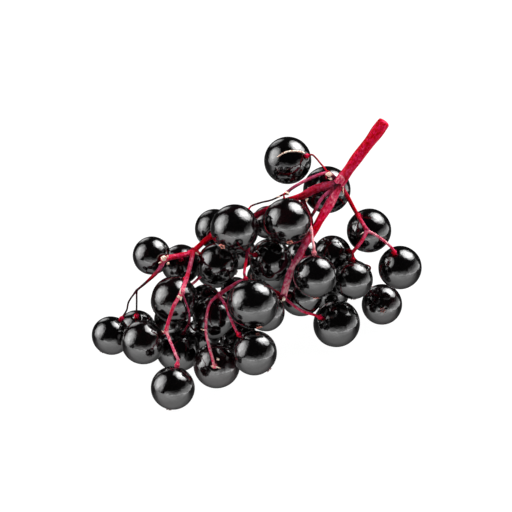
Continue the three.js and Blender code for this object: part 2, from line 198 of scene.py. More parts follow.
# Each berry's pedicel: its bends from the fork to the last one before the skin, the tones along
# it, and the tone of its cup where that isn't the last of them.
PEDICELS = {
    "front_berry_1": ([FRONT_TIP, (8.5, 18.2, 18.6), (8.7, 17.0, 18.0)], (PALE,), SALMON),
    "front_berry_2": ([FRONT_FORK], (MAROON,)),
    "front_berry_3": ([FRONT_FORK], (BLACKENED,)),
    "front_berry_4": ([FRONT_FORK, (6.8, 15.3, 7.9), (8.8, 16.6, 6.4)], (PLUM, BLUSHED, CRIMSON)),
    "middle_berry_1": ([MIDDLE_FORK], (MAROON,), BLACKENED),
    "middle_berry_2": (
        [
            MIDDLE_FORK, (-6.9, 10.6, 11.7), MIDDLE_KNEE, (-6.9, 5.3, 7.0), (-6.5, 3.7, 6.4),
            (-6.2, 2.9, 5.4),
        ],
        (PLUM, LILAC, LILAC, SALMON),
    ),
    "middle_berry_3": (
        [MIDDLE_FORK, (-4.6, 10.1, 11.7), (-3.9, 8.4, 10.7), (-2.8, 5.9, 9.4)],
        (PLUM, DUSTY, LILAC),
        CRIMSON,
    ),
    "middle_berry_4": ([MIDDLE_FORK, (-6.6, 14.9, 11.6), (-7.3, 17.5, 10.3)], (BLACKENED,)),
    "middle_berry_5": ([MIDDLE_SIDE, (-2.8, 16.0, 12.2)], (MAROON,), BLACKENED),
    "middle_berry_6": ([MIDDLE_SIDE, (-2.3, 13.3, 9.2)], (BLACKENED,)),
    "left_berry_1": ([LEFT_BERRY], (MAROON,)),
    "left_berry_2": ([LEFT_FORK], (MAROON,)),
    "left_berry_3": ([(-11.4, 17.6, 16.1)], (MAROON,)),
    "left_berry_4": ([LEFT_END], (CRIMSON,)),
    "left_berry_5": ([LEFT_TWIG, (-19.2, 13.4, 10.4), (-19.5, 12.8, 9.3)], (BLACKENED,), CRIMSON),
    "left_berry_6": ([LEFT_TWIG, (-18.1, 15.7, 9.2), (-18.2, 17.0, 7.2)], (BLACKENED,), CRIMSON),
    "left_berry_7": ([(-10.3, 12.0, 15.5)], (CRIMSON,)),
    "left_berry_8": ([LEFT_FOOT], (MAROON,), BLACKENED),
    "left_berry_9": (
        [LEFT_FOOT, (-12.5, 4.7, 7.9), (-11.9, 2.9, 7.35), (-11.5, 2.2, 6.8)],
        (ROSY, LILAC, LILAC, LILAC),
        ROSY,
    ),
    "left_berry_10": (
        [LEFT_KNEE, (-10.0, 8.3, 11.4), LEFT_LOW, (-10.6, 10.1, 7.6)],
        (PLUM, PLUM, MAROON),
        BLACKENED,
    ),
    "left_berry_11": ([LEFT_LOW, (-9.2, 12.8, 5.8), (-8.6, 14.6, 5.2)], (BLACKENED,)),
    "left_berry_12": ([LEFT_INNER, (-1.5, 14.6, 16.7), (-1.75, 10.8, 16.6)], (PLUM, DEEP, PLUM), MAROON),
    "left_berry_13": ([LEFT_INNER], (MAROON,)),
    "left_berry_14": ([(-9.2, 12.8, 5.8), (-9.4, 16.4, 6.2)], (BLACKENED,)),
    "upper_berry_1": (
        [SHOULDER, (10.1, 28.6, 25.9), (8.6, 30.2, 26.9)],
        (CRIMSON, MAROON, MAROON),
        CRIMSON,
    ),
    "upper_berry_2": ([UPPER_FORK, (4.2, 23.0, 23.7)], (MAROON,)),
    "upper_berry_3": (
        [UPPER_FORK, (2.3, 22.9, 22.8), (0.8, 22.3, 22.7), (-0.8, 21.4, 22.5)],
        (MAROON, BLACKENED, BLACKENED, MAROON),
        CRIMSON,
    ),
    "upper_berry_4": ([SHOULDER, (10.4, 29.0, 24.3)], (BLACKENED,)),
    "right_berry_1": ([RIGHT_SIDE], (CRIMSON,)),
    "right_berry_2": (
        [RIGHT_FORK, (18.1, 22.4, 17.2), (20.3, 21.9, 15.6), (20.9, 21.6, 15.0)],
        (LILAC, LILAC, CRIMSON),
    ),
    "right_berry_3": ([RIGHT_LOW, (14.7, 19.9, 14.8)], (MAROON,)),
    "right_berry_4": ([RIGHT_LOW, (14.6, 22.6, 14.3)], (MAROON,)),
    "right_berry_5": (
        [
            RIGHT_LOW, (15.2, 22.7, 12.8), (16.2, 23.4, 11.6), (17.5, 22.9, 11.3), (16.6, 24.5, 8.0),
            (17.5, 28.5, 5.0), (19.0, 30.8, 3.0), (19.6, 30.2, 2.1),
        ],
        (MAROON,),
    ),
    "right_berry_6": ([RIGHT_SIDE, (15.4, 29.1, 17.8), (16.2, 30.5, 15.7)], (CRIMSON,)),
    "back_berry_1": ([BACK_TOP], (CRIMSON,)),
    "back_berry_2": ([BACK_FORK], (CRIMSON,)),
    "back_berry_3": ([BACK_FORK], (DUSTY, CRIMSON)),
    "back_berry_4": ([BACK_FORK], (DUSTY, BLUSHED)),
    "back_berry_5": ([BACK_FORK, (3.6, 32.0, 7.2)], (BLUSHED, SALMON)),
    "back_berry_6": ([BACK_FORK, (10.6, 33.0, 5.3)], (CRIMSON, BLUSHED), CRIMSON),
    "back_berry_7": ([BACK_FORK], (MAROON,)),
    "back_berry_8": ([BACK_FORK], (DUSTY, BLUSHED)),
    "back_berry_9": ([(7.7, 30.1, 11.7)], (DUSTY, CRIMSON)),
    "hind_berry_1": ([HIND_SIDE], (CRIMSON,)),
    "hind_berry_2": ([HIND_FORK], (CRIMSON,)),
    "hind_berry_3": ([HIND_FORK], (DUSTY, BLUSHED)),
    "hind_berry_4": ([HIND_FORK, (-9.5, 27.3, 6.3)], (BLUSHED, SALMON), BLUSHED),
    "hind_berry_5": ([HIND_FORK, (-3.6, 31.8, 10.2)], (CRIMSON,)),
}

# ---- What the frame says.


def read(items, field, width=1, kind=float):
    """One field of all the items of a mesh's collection."""
    values = np.empty(width * len(items), kind)
    items.foreach_get(field, values)
    return values


def fitted_ball(node):
    """(middle, radius) of the ball on which a CAD berry's vertices lie, in millimetres."""
    points = read(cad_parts[node].data.vertices, "co", 3).reshape(-1, 3) / MM
    rows = np.column_stack([2 * points, np.ones(len(points))])
    solution = np.linalg.lstsq(rows, (points**2).sum(axis=1), rcond=None)[0]
    middle = solution[:3]
    return middle, math.sqrt(solution[3] + middle @ middle)


BALLS = {berry: fitted_ball(berry) for berry in PEDICELS}

# One berry's middle on the routes' scale. It ties the routes to the frame.
TIED_BERRY = "front_berry_1"
TIED_PLACE = np.array([8.9, 15.3, 13.8])
START = BALLS[TIED_BERRY][0] - TIED_PLACE


def placed(point):
    """A point of the routes' scale in the frame, in millimetres."""
    return np.array(point, float) + START


# ---- Directions, profiles and unevenness.


def unit(v):
    v = np.asarray(v, float)
    return v / np.linalg.norm(v)


def frame_around(axis):
    """Two directions at right angles to an axis and to each other."""
    axis = unit(axis)
    is_upright = abs(axis[2]) >= 0.9
    side = unit(np.cross((1.0, 0.0, 0.0) if is_upright else (0.0, 0.0, 1.0), axis))
    return side, np.cross(axis, side)


def full_turn(sides):
    """Even angles once around."""
    return np.linspace(0, 2 * math.pi, sides, endpoint=False)


def mound(distance, width):
    """1 at no distance, falling smoothly to nearly 0 at twice the width."""
    return np.exp(-((distance / width) ** 2))


def eased(values, low, high):
    """0 up to low and 1 from high, with a smooth step between them."""
    t = np.clip((values - low) / (high - low), 0, 1)
    return t * t * (3 - 2 * t)


def even_steps(values, share):
    """Values given at even steps from 0 to 1, at each share."""
    values = np.array(values, float)
    if len(values) == 1:
        return np.repeat(values, len(share), axis=0)
    steps = np.linspace(0, 1, len(values))
    if values.ndim == 1:
        return np.interp(share, steps, values)
    return np.column_stack([np.interp(share, steps, column) for column in values.T])


def waves(count, low, high, rng):
    """Random plane waves, as (directions, phases, heights), for gentle unevenness."""
    directions = rng.normal(size=(count, 3))
    directions /= np.linalg.norm(directions, axis=1)[:, None]
    directions *= rng.uniform(low, high, count)[:, None]
    return directions, rng.uniform(0, 2 * math.pi, count), rng.uniform(0.4, 1.0, count)


def unevenness(points, wave_set):
    """Between about -1 and 1, at each point."""
    directions, phases, heights = wave_set
    total = (np.sin(points @ directions.T + phases) * heights).sum(axis=1)
    return total / heights.sum() * 1.6


# ---- Node materials. Colours are linear, noise scales are per millimetre except where the place is
# in metres, and the heights of bumps are in metres.

NOISE_RANGE = (0.3, 0.7)  # where nearly all of a noise's values lie
PER_MM = 1000             # for noise scales where the place is in metres

SKIN_TONES = [
    (0.25, (0.0005, 0.0004, 0.0005)),
    (0.66, (0.0008, 0.0005, 0.0006)),
    (0.8, (0.0045, 0.0008, 0.0012)),
    (0.95, (0.020, 0.003, 0.005)),
]
DUST = (0.03, 0.02, 0.022, 1)
SCAR_TONES = [(0.36, (0.03, 0.003, 0.005)), (0.5, (0.20, 0.02, 0.03)), (0.66, (0.66, 0.18, 0.14))]
WITHERED_SCAR = (0.03, 0.004, 0.007, 1)
SKIN_PORES = 0.000004
SKIN_DENTS = 0.00009

SEPAL_TONES = [(0.3, (0.55, 0.08, 0.07)), (0.5, (0.84, 0.26, 0.20)), (0.7, (0.92, 0.52, 0.38))]
WITHERED_SEPAL = (0.075, 0.010, 0.014, 1)

BARK_TONES = [
    (0.0, (0.004, 0.001, 0.002)),
    (0.16, (0.03, 0.001, 0.004)),
    (0.36, (0.16, 0.0, 0.006)),
    (0.5, (0.32, 0.0, 0.003)),
    (0.62, (0.53, 0.0, 0.003)),
    (0.8, (0.70, 0.006, 0.075)),
    (1.0, (0.84, 0.14, 0.18)),
]
DUSTY_TONES = [
    (0.0, (0.008, 0.003, 0.006)),
    (0.3, (0.07, 0.016, 0.030)),
    (0.46, (0.18, 0.034, 0.070)),
    (0.66, (0.36, 0.050, 0.125)),
    (0.84, (0.56, 0.13, 0.21)),
    (1.0, (0.86, 0.45, 0.48)),
]
PINK_FLECK = (0.80, 0.010, 0.15, 1)
DARK_PATCH = (0.16, 0.0, 0.004, 1)
BARK_RIDGES = 0.00009
BARK_PORES = 0.00005

CREAM_TONES = [(0.3, (0.55, 0.22, 0.15)), (0.44, (0.86, 0.60, 0.46)), (0.58, (0.94, 0.84, 0.70))]


class Nodes:
    """A small helper that adds nodes to one empty tree and links them."""

    def __init__(self, tree):
        self.tree = tree
        self.tree.nodes.clear()

    def fill(self, socket, value):
        if isinstance(value, bpy.types.NodeSocket):
            self.tree.links.new(value, socket)
        else:
            socket.default_value = value

    def add(self, kind, inputs=None, **settings):
        node = self.tree.nodes.new(kind)
        for name, value in settings.items():
            setattr(node, name, value)
        for name, value in (inputs or {}).items():
            self.fill(node.inputs[name], value)
        return node

    def attribute(self, name, output="Fac"):
        return self.add("ShaderNodeAttribute", attribute_name=name).outputs[output]

    def noise(self, vector, scale, detail=3.0, roughness=0.5):
        inputs = {"Vector": vector, "Scale": scale, "Detail": detail, "Roughness": roughness}
        return self.add("ShaderNodeTexNoise", inputs).outputs["Fac"]

    def scaled(self, vector, factors):
        inputs = {0: vector, 1: factors}
        return self.add("ShaderNodeVectorMath", inputs, operation="MULTIPLY").outputs[0]

    def mapped(self, value, low, high, to_low=0.0, to_high=1.0):
        inputs = {
            "Value": value, "From Min": low, "From Max": high,
            "To Min": to_low, "To Max": to_high,
        }
        return self.add("ShaderNodeMapRange", inputs).outputs["Result"]

    def spread(self, noise, to_low, to_high):
        """A noise's values, spread from one value to another."""
        return self.mapped(noise, *NOISE_RANGE, to_low, to_high)

    def plus(self, a, b):
        return self.add("ShaderNodeMath", {0: a, 1: b}, operation="ADD").outputs[0]

    def times(self, a, b):
        return self.add("ShaderNodeMath", {0: a, 1: b}, operation="MULTIPLY").outputs[0]

    def mixed(self, factor, a, b):
        node = self.add("ShaderNodeMix", data_type="RGBA")
        factor_socket, a_socket, b_socket, result = 0, 6, 7, 2  # the ones that mix colours
        for socket, value in ((factor_socket, factor), (a_socket, a), (b_socket, b)):
            self.fill(node.inputs[socket], value)
        return node.outputs[result]

    def ramp(self, value, stops):
        node = self.add("ShaderNodeValToRGB", {"Fac": value})
        elements = node.color_ramp.elements
        while len(elements) < len(stops):
            elements.new(1.0)
        for element, (position, colour) in zip(elements, stops):
            element.position = position
            element.color = (*colour, 1.0)
        return node.outputs["Color"]

    def bump(self, height, distance, strength=1.0, normal=None):
        inputs = {"Height": height, "Distance": distance, "Strength": strength}
        if normal is not None:
            inputs["Normal"] = normal
        return self.add("ShaderNodeBump", inputs).outputs["Normal"]

    def finish(self, inputs):
        """The material's surface shader, with these inputs."""
        shader = self.add("ShaderNodeBsdfPrincipled", inputs)
        self.add("ShaderNodeOutputMaterial", {"Surface": shader.outputs[0]})

    def finish_dry(self, place, colour, patches, wrinkles, wrinkle_height):
        """A dull wrinkled surface, from the noise scales of its patches and its wrinkles."""
        self.finish({
            "Base Color": colour,
            "Roughness": self.spread(self.noise(place, patches), 0.45, 0.7),
            "Normal": self.bump(self.noise(place, wrinkles, 3.0, 0.6), wrinkle_height, 0.8),
        })


def new_material(name):
    """A material and its nodes."""
    material = bpy.data.materials.new(name)
    material.use_nodes = True
    return material, Nodes(material.node_tree)


def skin_material():
    """Taut black skin with a maroon tinge, a clear wax gloss, and a dry maroon calyx scar."""
    material, n = new_material("elderberry_skin")
    place = n.attribute("skin_place", "Vector")
    scar = n.attribute("scar")
    clouds = n.noise(place, 0.35, 4.0, 0.6)
    skin = n.ramp(n.plus(n.times(clouds, 0.8), n.times(n.attribute("ripeness"), 0.35)), SKIN_TONES)
    dust = n.mapped(n.noise(place, 5.0, 2.0), 0.66, 0.8)
    dusted = n.mixed(n.times(dust, 0.35), skin, DUST)
    fresh_scar = n.ramp(n.noise(place, 1.6, 3.0, 0.6), SCAR_TONES)
    scar_colour = n.mixed(n.attribute("withered"), fresh_scar, WITHERED_SCAR)
    gloss = n.mapped(n.noise(place, 0.9, 4.0, 0.6), 0.3, 0.75, 0.07, 0.2)
    pores = n.bump(n.noise(place, 7.0), SKIN_PORES, 0.5)
    dents = n.bump(n.noise(place, 1.0, 2.0), SKIN_DENTS, 0.7, pores)
    n.finish({
        "Base Color": n.mixed(scar, dusted, scar_colour),
        "Roughness": n.plus(gloss, n.times(scar, 0.35)),
        "Normal": dents, "IOR": 1.5,
        "Coat Weight": 1.0, "Coat Roughness": 0.06, "Coat IOR": 1.5, "Coat Normal": dents,
    })
    return material


def sepal_material():
    """Withered sepals, tan and pink where they are fresh, and else maroon."""
    material, n = new_material("dry_sepal")
    place = n.attribute("skin_place", "Vector")
    fresh = n.ramp(n.noise(place, 1.3, 3.0, 0.6), SEPAL_TONES)
    colour = n.mixed(n.attribute("withered"), fresh, WITHERED_SEPAL)
    n.finish_dry(place, colour, patches=2.0, wrinkles=4.0, wrinkle_height=0.00003)
    return material


def stalk_material():
    """Crimson bark, streaked along the stem, from blackened to pale by its tone, with a share of
    dusty rose."""
    material, n = new_material("crimson_stalk")
    grain = n.attribute("grain", "Vector")
    tone = n.attribute("tone")
    streaks = n.noise(n.scaled(grain, (0.4, 3.0, 3.0)), 1.0, 4.0, 0.6)
    blotches = n.noise(grain, 1.7, 4.0, 0.65)
    flecks = n.noise(grain, 3.6, 2.0)
    coarse = n.plus(n.spread(streaks, -0.12, 0.12), n.spread(blotches, -0.15, 0.15))
    shade = n.plus(tone, n.plus(coarse, n.spread(flecks, -0.08, 0.08)))
    dusty_share = n.times(n.attribute("bloom"), n.mapped(blotches, 0.38, 0.6, 0.35, 1.25))
    bark = n.mixed(dusty_share, n.ramp(shade, BARK_TONES), n.ramp(shade, DUSTY_TONES))
    fleck_share = n.times(n.mapped(flecks, 0.56, 0.7, 0.0, 0.5), tone)
    flecked = n.mixed(fleck_share, bark, PINK_FLECK)
    dark_share = n.mapped(n.noise(grain, 2.1, 3.0, 0.6), 0.58, 0.7, 0.0, 0.6)
    ridges = n.bump(streaks, BARK_RIDGES, 0.8)
    n.finish({
        "Base Color": n.mixed(dark_share, flecked, DARK_PATCH),
        "Roughness": n.spread(blotches, 0.38, 0.6),
        "Normal": n.bump(flecks, BARK_PORES, 0.6, ridges),
        "IOR": 1.4, "Specular IOR Level": 0.04,
    })
    return material


def scale_material():
    """Dry cream scales, buds and the fibre."""
    material, n = new_material("cream_scale")
    place = n.add("ShaderNodeTexCoord").outputs["Object"]
    colour = n.ramp(n.noise(place, 2.6 * PER_MM, 3.0, 0.6), CREAM_TONES)
    n.finish_dry(place, colour, 3 * PER_MM, 6 * PER_MM, 0.00002)
    return material


SKIN = skin_material()
SEPAL = sepal_material()
BARK = stalk_material()
SCALE = scale_material()

# ---- Mesh helpers. Points are in millimetres until a piece is made.


def mesh_object(name, points, faces, scale=1.0):
    mesh = bpy.data.meshes.new(name)
    mesh.from_pydata((np.asarray(points) * scale).tolist(), [], [list(f) for f in faces])
    mesh.update()
    piece = bpy.data.objects.new(name, mesh)
    bpy.context.scene.collection.objects.link(piece)
    return piece


def add_attributes(piece, **attributes):
    """Point attributes: a number or a vector a point, or one number for all."""
    for name, values in attributes.items():
        values = np.asarray(values, np.float32)
        if values.ndim == 0:
            values = np.full(len(piece.data.vertices), values)
        kind, field = ("FLOAT", "value") if values.ndim == 1 else ("FLOAT_VECTOR", "vector")
        made = piece.data.attributes.new(name, kind, "POINT")
        made.data.foreach_set(field, values.ravel())


def make_piece(name, points, faces, materials, slot, replaced=()):
    """A smooth-shaded piece in metres that rides on the one body."""
    piece = mesh_object(name, points, faces, MM)
    for material in materials:
        piece.data.materials.append(material)
    piece.data.shade_smooth()
    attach(piece, "root")
    if replaced:
        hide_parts(*replaced)
    return piece


def grid_faces(rings, sides, first=0):
    """Quads of a closed grid of rings, with a fan to a pole at each end. The first pole comes
    right after the grid, and the last pole after that."""
    faces = []
    for i in range(rings - 1):
        a, b = first + i * sides, first + (i + 1) * sides
        for j in range(sides):
            k = (j + 1) % sides
            faces.append((a + j, b + j, b + k, a + k))
    last = first + (rings - 1) * sides
    pole = first + rings * sides
    far_pole = pole + 1
    for j in range(sides):
        k = (j + 1) % sides
        faces.append((pole, first + j, first + k))
        faces.append((far_pole, last + k, last + j))
    return faces


def joined(shapes):
    """Several shapes, each (points, faces), as one."""
    points, faces = [], []
    for shape_points, shape_faces in shapes:
        first = len(points)
        faces += [tuple(first + v for v in face) for face in shape_faces]
        points += list(shape_points)
    return np.array(points), faces


# ---- Berries.

BERRY_SIDES = 72
SKIN_WAVES = [  # (height as a share of the radius, number, slowest and fastest)
    (0.015, 7, 1.2, 3.0),
    (0.0042, 9, 4.5, 9.0),
]
SHORTEST = 0.965          # a berry's least length, as a share of its width
FLAT_ROUNDING = 0.05      # mm, how softly a berry's contact patch begins
SCAR_SHARE = 0.088        # the calyx ring's radius, as a share of the berry's
SCAR_EDGE = (1.22, 0.25)  # where the scar's colour ends, and how softly, in ring radii
LOBES = 5
LOBE_STRAY = 0.08         # radians
SKIN_SHIFT = 30           # mm, about how far apart two berries' patterns are taken

SEPAL_STEPS, SEPAL_COLUMNS = 7, 5
SEPAL_THICKNESS = 0.06    # mm
SEPAL_LENGTH = 0.06       # this and the next as shares of the berry's radius
SEPAL_HALF_WIDTH = 0.042
FRESH_GROWTH = 1.25       # how much larger the sepals of a fresh calyx are
FRESH_CALYXES = {"front_berry_1", "upper_berry_2", "upper_berry_3", "left_berry_12"}
WITHERED = (0.75, 1.0)    # how far the others have dried to maroon


def ring_angles():
    """Angles from the pedicel to the calyx, close together at the dimple and at the calyx."""
    dimple, calyx = 0.32, math.pi - 0.5
    return np.concatenate([
        np.linspace(0.03, dimple, 8, endpoint=False),
        np.linspace(dimple, calyx, 40, endpoint=False),
        np.linspace(calyx, math.pi - 0.012, 26),
    ])


def berry_height(angle, turn, radius, lobes_at):
    """How far the skin stands out from the ball, in mm, at an angle from the pedicel and a turn
    around it. The numbers are heights, places and widths in mm."""
    ring = SCAR_SHARE * radius
    near = radius * angle
    far = radius * (math.pi - angle)
    lobes = np.cos(LOBES * (turn - lobes_at))
    dimple = -0.16 * mound(near, 0.55) + 0.05 * mound(near - 0.75, 0.3)
    basin = -0.09 * mound(far, 0.8 * ring)
    rim = (0.06 + 0.025 * lobes) * mound(far - ring, 0.09)
    nub = 0.1 * mound(far, 0.1)
    folds = 0.03 * (lobes - 1) * mound(far - 1.8 * ring, 0.3)
    return dimple + basin + rim + nub + folds


def sepal(ball, axis, sides, turn, growth, rng):
    """One withered sepal lying on the skin just outside the calyx ring."""
    middle, radius = ball
    side_a, side_b = sides
    outward = math.cos(turn) * side_a + math.sin(turn) * side_b
    across = -math.sin(turn) * side_a + math.cos(turn) * side_b
    length = SEPAL_LENGTH * radius * growth * rng.uniform(0.7, 1.2)
    half_width = SEPAL_HALF_WIDTH * radius * growth * rng.uniform(0.8, 1.2)
    curl = rng.uniform(0.0, 0.1)
    indices = np.indices((2, SEPAL_STEPS, SEPAL_COLUMNS))
    layer, step, column = (index.ravel() for index in indices)
    t = step / (SEPAL_STEPS - 1)
    u = 2 * column / (SEPAL_COLUMNS - 1) - 1
    ring = SCAR_SHARE * radius
    angle = (0.88 * ring + t * length) / radius
    width = half_width * (1 - t) ** 0.7 * (1 + 0.35 * np.sin(math.pi * t))
    lift = 0.06 + curl * t * t + 0.03 * (1 - u * u) + SEPAL_THICKNESS * layer * (1 - t) ** 0.4
    direction = np.cos(angle)[:, None] * axis + np.sin(angle)[:, None] * outward
    points = middle + (radius + lift)[:, None] * direction + (u * width + 0.01)[:, None] * across
    under = np.arange(SEPAL_STEPS * SEPAL_COLUMNS).reshape(SEPAL_STEPS, SEPAL_COLUMNS)
    over, row = under.size, SEPAL_COLUMNS
    faces = []
    for a in under[:-1, :-1].ravel():
        b = a + over
        faces.append((a, a + row, a + row + 1, a + 1))
        faces.append((b, b + 1, b + row + 1, b + row))
    rim = [*under[:, 0], *under[-1, 1:], *under[-2::-1, -1], *under[0, -2:0:-1]]
    for a, b in zip(rim, rim[1:] + rim[:1]):
        faces.append((a, a + over, b + over, b))
    return points, faces


def make_berry(name):
    """A berry with its dimple, calyx and sepals, in place of the CAD's ball."""
    rng = np.random.default_rng([ord(c) for c in name])
    rng.normal(size=3)  # spent, so that each draw after it stays the same
    middle, radius = BALLS[name]
    route = PEDICELS[name][0]
    outward = unit(placed(route[-1]) - middle)
    sides = frame_around(outward)
    angles = ring_angles()
    grid = np.meshgrid(angles, full_turn(BERRY_SIDES), indexing="ij")
    angle = np.append(grid[0].ravel(), [0.0, math.pi])
    turn = np.append(grid[1].ravel(), [0.0, 0.0])
    lobes_at = rng.uniform(0, 2 * math.pi)
    local = (
        np.cos(angle)[:, None] * outward
        + (np.sin(angle) * np.cos(turn))[:, None] * sides[0]
        + (np.sin(angle) * np.sin(turn))[:, None] * sides[1]
    )
    bumps = sum(
        height * unevenness(local, waves(count, low, high, rng))
        for height, count, low, high in SKIN_WAVES
    )
    height = radius * bumps + berry_height(angle, turn, radius, lobes_at)
    skin = middle + (radius + height)[:, None] * local
    squash = rng.uniform(SHORTEST, 1.0)
    skin += ((squash - 1) * ((skin - middle) @ outward))[:, None] * outward
    shapes = [(skin, grid_faces(len(angles), BERRY_SIDES))]
    is_fresh = name in FRESH_CALYXES
    growth = FRESH_GROWTH if is_fresh else 1.0
    for lobe in range(LOBES):
        lobe_turn = lobes_at + 2 * math.pi * lobe / LOBES + rng.normal(0, LOBE_STRAY)
        points, faces = sepal(BALLS[name], -outward, sides, lobe_turn, growth, rng)
        shapes.append((points + (1 - squash) * radius * outward, faces))
    points, faces = joined(shapes)
    z = points[:, 2]
    points[:, 2] = 0.5 * (z + np.sqrt(z * z + FLAT_ROUNDING**2))
    piece = make_piece(name + "_fruit", points, faces, [SKIN, SEPAL], "berry_skin", [name])
    is_sepal = np.arange(len(faces)) >= len(shapes[0][1])
    piece.data.polygons.foreach_set("material_index", is_sepal.astype(np.int32))
    from_calyx = (math.pi - angle) / SCAR_SHARE
    scar = np.ones(len(points))
    scar[: len(skin)] = np.clip((SCAR_EDGE[0] - from_calyx) / SCAR_EDGE[1], 0, 1)
    add_attributes(
        piece,
        scar=scar,
        skin_place=points - middle + SKIN_SHIFT * rng.normal(size=3),
        ripeness=rng.uniform(),
        withered=0.0 if is_fresh else rng.uniform(*WITHERED),
    )


for berry in sorted(PEDICELS):
    make_berry(berry)

# ---- The stalk: tubes along the routes, run together by a fine remesh. Lengths are in mm.

STEP = 0.16              # between a tube's rings
TUBE_SIDES = 20
ROUND_END = [(0.75, 0.55), (0.45, 0.85)]  # (distance beyond the end, size) of rings, in radii
BLUNT_END = [(0.34, 0.64), (0.2, 0.9)]
START_POLE = 1.1         # the pole's distance beyond the start, in the outermost ring's
END_POLE = 0.85          # the same beyond the end, in radii
TUBE_APART = 40.0        # between the grain of one tube and the next

STEM_SLIMNESS = 0.97     # how much thinner the stems are than their routes' radii
STEM_SWELLING = (0.22, 0.18)  # how much wider a ray's stem is at its start and its end
MAIN_SWELLING = (0.0, 0.1)
STEM_RIDGES = 0.055
STEM_WANDER = 0.07       # how far a stem strays from its route
STEM_STEADY = 1.5        # how far from its ends it strays in full
KNOB_SLIMNESS = 0.84
KNOB_RINGS = 9

PEDICEL_RADIUS = 0.22
THIN_RADIUS = 0.15       # of the blackened and maroon pedicels
CUP_RADIUS = 0.4
CUP_LENGTH = 0.75
NECK_ROOM = 0.2          # a last bend nearer than this to the cup does for its neck
SINK = 0.1               # how far a cup reaches into its berry's dimple

VOXEL = 0.078
SMOOTHING = (0.5, 3)     # how much and how often

HEAD_PAINTED_SHADE = 0.6         # painted shade: how much darker the rays are painted right at the head, where they crowd together
HEAD_REACH = 1.25        # how far from the head that goes
# Painted light and shade: the bark's tone is raised on the side that faces this way, up and to the right
# like the key light, and lowered on the far side.
PAINTED_LIGHT_SIDE = (0.75, -0.25, 0.6)
PAINTED_LIGHT_TONE = 0.14        # painted light: how much lighter and rosier the bark is painted on the side towards the key light, and darker on the far side


def curve_points(a, b, c, d):
    """Points from b to c, without c, on the centripetal Catmull-Rom curve through all four."""
    t1 = math.sqrt(np.linalg.norm(b - a))
    t2 = t1 + math.sqrt(np.linalg.norm(c - b))
    t3 = t2 + math.sqrt(np.linalg.norm(d - c))
    t = np.linspace(t1, t2, 24, endpoint=False)[:, None]
    ab = (t1 - t) / t1 * a + t / t1 * b
    bc = (t2 - t) / (t2 - t1) * b + (t - t1) / (t2 - t1) * c
    cd = (t3 - t) / (t3 - t2) * c + (t - t2) / (t3 - t2) * d
    abc = (t2 - t) / t2 * ab + t / t2 * bc
    bcd = (t3 - t) / (t3 - t1) * bc + (t - t1) / (t3 - t1) * cd
    return (t2 - t) / (t2 - t1) * abc + (t - t1) / (t2 - t1) * bcd


def centreline(route):
    """Evenly spaced points along a smooth curve through a route, and how far along each is."""
    points = np.array(route, float)
    if len(points) == 2:
        points = np.array([points[0], (points[0] + points[1]) / 2, points[1]])
    points = np.vstack([2 * points[0] - points[1], points, 2 * points[-1] - points[-2]])
    spans = [curve_points(*four) for four in zip(points, points[1:], points[2:], points[3:])]
    dense = np.vstack([*spans, points[-2]])
    lengths = np.append(0, np.cumsum(np.linalg.norm(np.diff(dense, axis=0), axis=1)))
    count = max(4, round(lengths[-1] / STEP))
    wanted = np.linspace(0, lengths[-1], count + 1)
    return np.column_stack([np.interp(wanted, lengths, dense[:, k]) for k in range(3)]), wanted


def carried_frames(points):
    """At each point of a centreline the direction along it and two directions across it, which
    turn as little as can be."""
    tangents = np.gradient(points, axis=0)
    tangents /= np.linalg.norm(tangents, axis=1)[:, None]
    side = frame_around(tangents[0])[0]
    sides = []
    for tangent in tangents:
        side = unit(side - (side @ tangent) * tangent)
        sides.append(side)
    sides = np.array(sides)
    return tangents, sides, np.cross(tangents, sides)


class Tubes:
    """The tubes of one piece of the stalk, and the centrelines that they were made along."""

    def __init__(self):
        self.points, self.faces = [], []
        self.lines = {key: [] for key in ("at", "radius", "along", "side_a", "side_b", "tone")}
        self.count = 0

    def add(self, points, radii, tones=(), ridges=0.0, sides=TUBE_SIDES, phase=0.0, end=ROUND_END):
        """A closed tube, with five ridges and three weaker ones that wind slowly along it."""
        tangents, side_a, side_b = carried_frames(points)
        start, finish = radii[0] * tangents[0], radii[-1] * tangents[-1]
        centres = [points[0] - beyond * start for beyond, _ in end]
        centres += [*points, *(points[-1] + beyond * finish for beyond, _ in end[::-1])]
        rings = [share * radii[0] for _, share in end]
        rings += [*radii, *(share * radii[-1] for _, share in end[::-1])]
        held = [0] * len(end) + [*range(len(points))] + [-1] * len(end)
        turns = full_turn(sides)
        first = len(self.points)
        for i, (centre, ring, a, b) in enumerate(zip(centres, rings, side_a[held], side_b[held])):
            uneven = 1 + ridges * np.cos(5 * turns + phase + 0.06 * i)
            uneven = uneven + 0.6 * ridges * np.cos(3 * turns + 2 * phase - 0.03 * i)
            for turn, share in zip(turns, uneven):
                across = math.cos(turn) * a + math.sin(turn) * b
                self.points.append(centre + ring * share * across)
        self.points.append(points[0] - START_POLE * end[0][0] * start)
        self.points.append(points[-1] + END_POLE * finish)
        self.faces += grid_faces(len(rings), sides, first)
        self.count += 1
        along = np.append(0, np.cumsum(np.linalg.norm(np.diff(points, axis=0), axis=1)))
        rows = (points, radii, along + TUBE_APART * self.count, side_a, side_b, tones)
        for values, more in zip(self.lines.values(), rows):
            values.extend(more)


def knob_rings(place, radius, axis, tip, uneven, rng, slimness=1.0):
    """The middles and radii of the rings of a small ball."""
    reach = np.linspace(-tip, tip, KNOB_RINGS)
    roughly = 1 + uneven * rng.normal(size=KNOB_RINGS)
    radii = slimness * radius * np.sqrt(1.02 - reach**2) * roughly
    return placed(place) + radius * reach[:, None] * axis, radii


